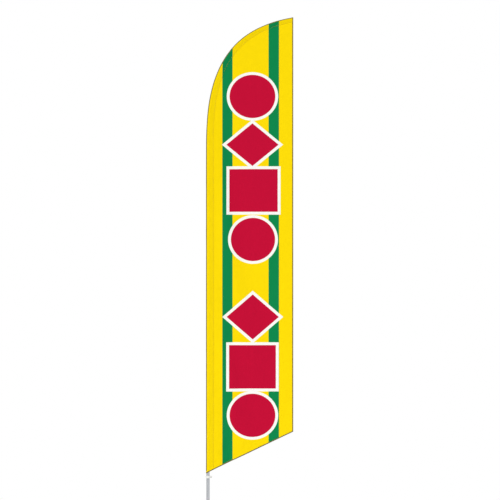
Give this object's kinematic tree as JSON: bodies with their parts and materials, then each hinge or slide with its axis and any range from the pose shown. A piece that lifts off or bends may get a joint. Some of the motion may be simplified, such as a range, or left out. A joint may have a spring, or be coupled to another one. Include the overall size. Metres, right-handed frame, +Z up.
{
  "type": "feather flag with pole",
  "caption": "Tall feather flag: printed cloth with a pole sleeve on a bowed plug-in pole, turning on a ball-bearing swivel in a pointed ground spike.",
  "frame": {"origin": "on the pole's axis at ground level, in the plane of the step plate's underside", "axes": "+Z up the pole, +X from the pole towards the flag's fly edge, -Y towards the printed front"},
  "size_m": [0.735, 0.05, 5.0023],
  "materials": {
    "printed_cloth": "matte",
    "hem_thread": "matte",
    "white_webbing": "matte",
    "anodised_aluminium": "satin",
    "fibreglass": "satin",
    "galvanised_steel": "matte",
    "bright_steel": "satin",
    "white_nylon": "satin",
    "black_rubber": "matte",
    "brass": "satin"
  },
  "bodies": {
    "ground_spike": {"spike_rod": "galvanised_steel", "step_plate": "galvanised_steel", "spike_fin_1": "galvanised_steel", "spike_fin_2": "galvanised_steel", "spike_fin_3": "galvanised_steel", "spike_fin_4": "galvanised_steel", "thrust_bushing": "white_nylon", "lower_bearing_inner_race": "bright_steel", "upper_bearing_inner_race": "bright_steel", "bearing_spacer": "anodised_aluminium", "spindle_circlip": "bright_steel"},
    "bearing_balls": {"lower_bearing_balls": "bright_steel", "upper_bearing_balls": "bright_steel"},
    "swivel": {"swivel_hub": "anodised_aluminium", "lower_bearing_outer_race": "bright_steel", "upper_bearing_outer_race": "bright_steel", "hub_circlip": "bright_steel", "hub_cap": "white_nylon", "lower_o_ring": "black_rubber", "upper_o_ring": "black_rubber"},
    "pole": {"pole_foot": "white_nylon", "pole_section_1": "anodised_aluminium", "pole_section_2": "anodised_aluminium", "pole_section_3": "anodised_aluminium", "pole_section_4": "fibreglass", "pole_section_5": "fibreglass", "joint_1_collar": "white_nylon", "joint_2_collar": "white_nylon", "joint_3_collar": "white_nylon", "joint_4_collar": "white_nylon", "joint_1_spring": "bright_steel", "joint_2_spring": "bright_steel", "tip_cap": "black_rubber", "sleeve_straight": "printed_cloth", "sleeve_bend": "printed_cloth", "flag_panel": "printed_cloth", "tip_pocket": "white_webbing", "mouth_binding": "hem_thread", "fly_hem": "hem_thread", "bottom_hem": "hem_thread", "tension_collar": "white_nylon", "collar_screw": "bright_steel", "collar_nut": "bright_steel", "tension_stud": "bright_steel", "tab_eyelet": "brass", "tension_tab": "white_webbing"},
    "lower_button": {"joint_1_button": "bright_steel"},
    "upper_button": {"joint_2_button": "bright_steel"}
  },
  "joints": [
    {"name": "pole_spin", "type": "hinge", "parent": "ground_spike", "child": "swivel", "pos_m": [0, 0, 0.05], "axis": [0, 0, 1], "continuous": true},
    {"name": "balls_roll", "type": "hinge", "parent": "ground_spike", "child": "bearing_balls", "pos_m": [0, 0, 0.05], "axis": [0, 0, 1], "continuous": true},
    {"name": "pole_lift_off", "type": "slide", "parent": "swivel", "child": "pole", "axis": [0, 0, 1], "range_m": [0, 0.14]},
    {"name": "lower_button_press", "type": "slide", "parent": "pole", "child": "lower_button", "axis": [0, 1, 0], "range_m": [0, 0.003], "stiffness_N_per_m": 900, "deforming": ["joint_1_spring"]},
    {"name": "upper_button_press", "type": "slide", "parent": "pole", "child": "upper_button", "axis": [0, 1, 0], "range_m": [0, 0.003], "stiffness_N_per_m": 900, "deforming": ["joint_2_spring"]}
  ],
  "couplings": [
    {"joint": "balls_roll", "follows": "pole_spin", "ratio": 0.5909}
  ]
}
